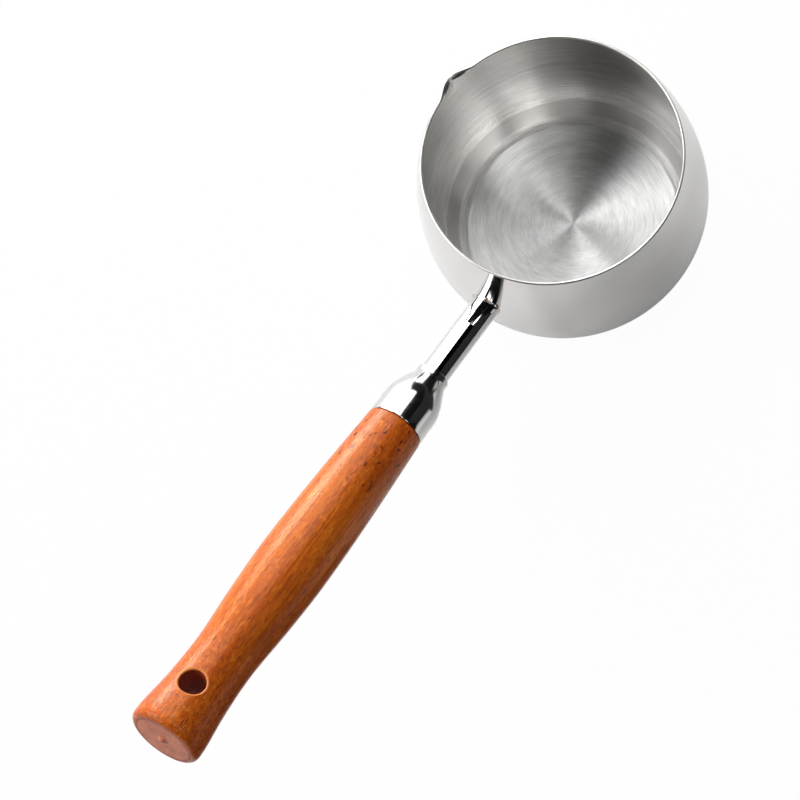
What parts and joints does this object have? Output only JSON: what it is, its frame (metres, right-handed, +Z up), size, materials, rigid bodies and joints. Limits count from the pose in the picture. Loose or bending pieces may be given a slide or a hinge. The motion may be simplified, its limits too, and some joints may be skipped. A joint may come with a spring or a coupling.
{
  "type": "hot oil pot",
  "caption": "Small bellied steel pot with a pinched pouring lip at its side and a rising, turned wooden handle with a hanging hole, for heating a little oil.",
  "frame": {"origin": "centre of the pot's flat base, on the surface it stands on", "axes": "+Z up along the pot's axis, +X towards the handle, the pouring lip near -Y"},
  "size_m": [0.2902, 0.0994, 0.0971],
  "materials": {
    "satin_steel": "brushed round the inside, spun floor, polished outside",
    "polished_steel": "mirror polished",
    "zinc_steel": "zinc plated, hidden",
    "red_wood": "oiled reddish hardwood with dark pores"
  },
  "bodies": {
    "root": {"pot_body": "satin_steel", "stem_weld": "polished_steel", "stem_tube": "polished_steel", "stem_plug": "zinc_steel", "hanger_stud": "zinc_steel", "seat_washer": "zinc_steel", "ferrule": "polished_steel", "wood_handle": "red_wood"}
  },
  "joints": []
}
